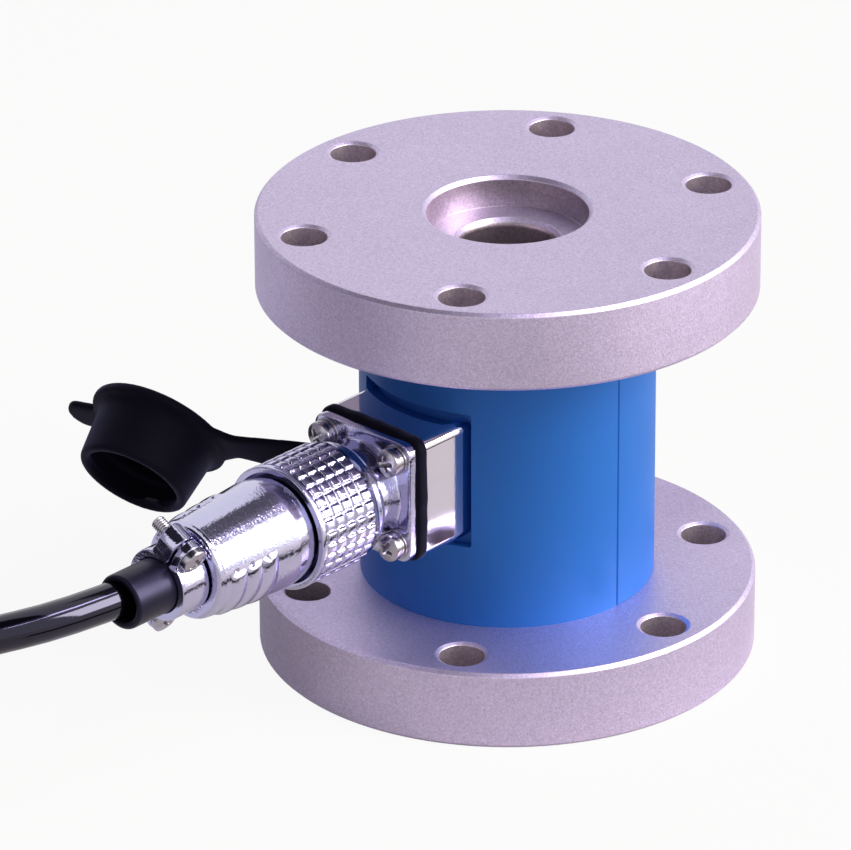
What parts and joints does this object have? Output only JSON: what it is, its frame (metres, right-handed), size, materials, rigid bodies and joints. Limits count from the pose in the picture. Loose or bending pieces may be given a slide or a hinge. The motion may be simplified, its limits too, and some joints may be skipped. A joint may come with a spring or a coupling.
{
  "type": "static torque sensor",
  "caption": "Flange to flange static torque sensor: a thin measuring section under a split sleeve, with a plugged and coiled cable and a strapped dust cap.",
  "frame": {"origin": "centre of the bottom flange's lower face", "axes": "+Z along the sensor's own axis, from the bottom flange to the top flange; the connector points along -Y"},
  "size_m": [0.1828, 0.2566, 0.092],
  "materials": {
    "nickel_plate": "bead blasted nickel plate, satin",
    "blue_anodised": "matte blue anodised",
    "mirror_chrome": "polished",
    "cast_chrome": "bright chrome plate on a casting",
    "black_rubber": "matte moulded rubber",
    "insulator": "moulded thermoset",
    "contact_metal": "gold flash on brass",
    "screw_nickel": "bright nickel plate",
    "cable_jacket": "glossy extruded jacket",
    "core_red": "extruded insulation",
    "core_black": "extruded insulation",
    "core_green": "extruded insulation",
    "core_white": "extruded insulation",
    "board_green": "solder resist on glass laminate",
    "gauge_foil": "foil on polyimide film",
    "tie_black": "moulded strap"
  },
  "bodies": {
    "sensor": {"elastic_body": "nickel_plate", "sleeve_front": "blue_anodised", "sleeve_rear": "blue_anodised", "connector_block": "mirror_chrome", "gasket": "black_rubber", "receptacle_shell": "cast_chrome", "receptacle_insert": "insulator", "terminal_board": "board_green", "receptacle_pin_1": "contact_metal", "receptacle_pin_2": "contact_metal", "receptacle_pin_3": "contact_metal", "receptacle_pin_4": "contact_metal", "flange_screw_1": "screw_nickel", "flange_screw_2": "screw_nickel", "flange_screw_3": "screw_nickel", "flange_screw_4": "screw_nickel", "spring_washer_1": "screw_nickel", "spring_washer_2": "screw_nickel", "spring_washer_3": "screw_nickel", "spring_washer_4": "screw_nickel", "flat_washer_1": "screw_nickel", "flat_washer_2": "screw_nickel", "flat_washer_3": "screw_nickel", "flat_washer_4": "screw_nickel", "strain_gauge_1": "gauge_foil", "strain_gauge_2": "gauge_foil", "strain_gauge_3": "gauge_foil", "strain_gauge_4": "gauge_foil", "bridge_lead_1": "core_red", "bridge_lead_2": "core_black", "bridge_lead_3": "core_green", "bridge_lead_4": "core_white"},
    "plug": {"plug_barrel": "screw_nickel", "plug_insert": "insulator", "plug_shell": "cast_chrome", "cable_grommet": "black_rubber", "clamp_saddle": "cast_chrome", "cable": "cable_jacket", "cable_coil": "cable_jacket", "cable_end": "cable_jacket", "plug_socket_1": "contact_metal", "plug_socket_2": "contact_metal", "plug_socket_3": "contact_metal", "plug_socket_4": "contact_metal", "clamp_screw_1": "screw_nickel", "clamp_screw_2": "screw_nickel", "coil_tie_1": "tie_black", "coil_tie_2": "tie_black", "cable_core_1": "core_red", "cable_core_2": "core_black", "cable_core_3": "core_green", "cable_core_4": "core_white", "core_tail_1": "core_red", "core_tail_2": "core_black", "core_tail_3": "core_green", "core_tail_4": "core_white"},
    "thrust_ring": {"nut_washer": "screw_nickel"},
    "nut": {"coupling_nut": "cast_chrome"},
    "cap": {"dust_cap": "black_rubber"}
  },
  "joints": [
    {"name": "plug_pull", "type": "slide", "parent": "sensor", "child": "plug", "axis": [0, -1, 0], "range_m": [0, 0.02]},
    {"name": "nut_travel", "type": "slide", "parent": "plug", "child": "thrust_ring", "axis": [0, -1, 0], "range_m": [0, 0.00401]},
    {"name": "nut_turn", "type": "hinge", "parent": "thrust_ring", "child": "nut", "pos_m": [0, -0.0558, 0.047], "axis": [0, -1, 0], "range_deg": [0, 1440]},
    {"name": "cap_swing", "type": "hinge", "parent": "sensor", "child": "cap", "pos_m": [-0.01405, -0.0382, 0.0478], "axis": [0, 0, 1], "range_deg": [-35, 25], "stiffness_Nm_per_rad": 0.01}
  ],
  "couplings": [
    {"joint": "nut_travel", "follows": "nut_turn", "m_per_rad": 0.00015915}
  ]
}
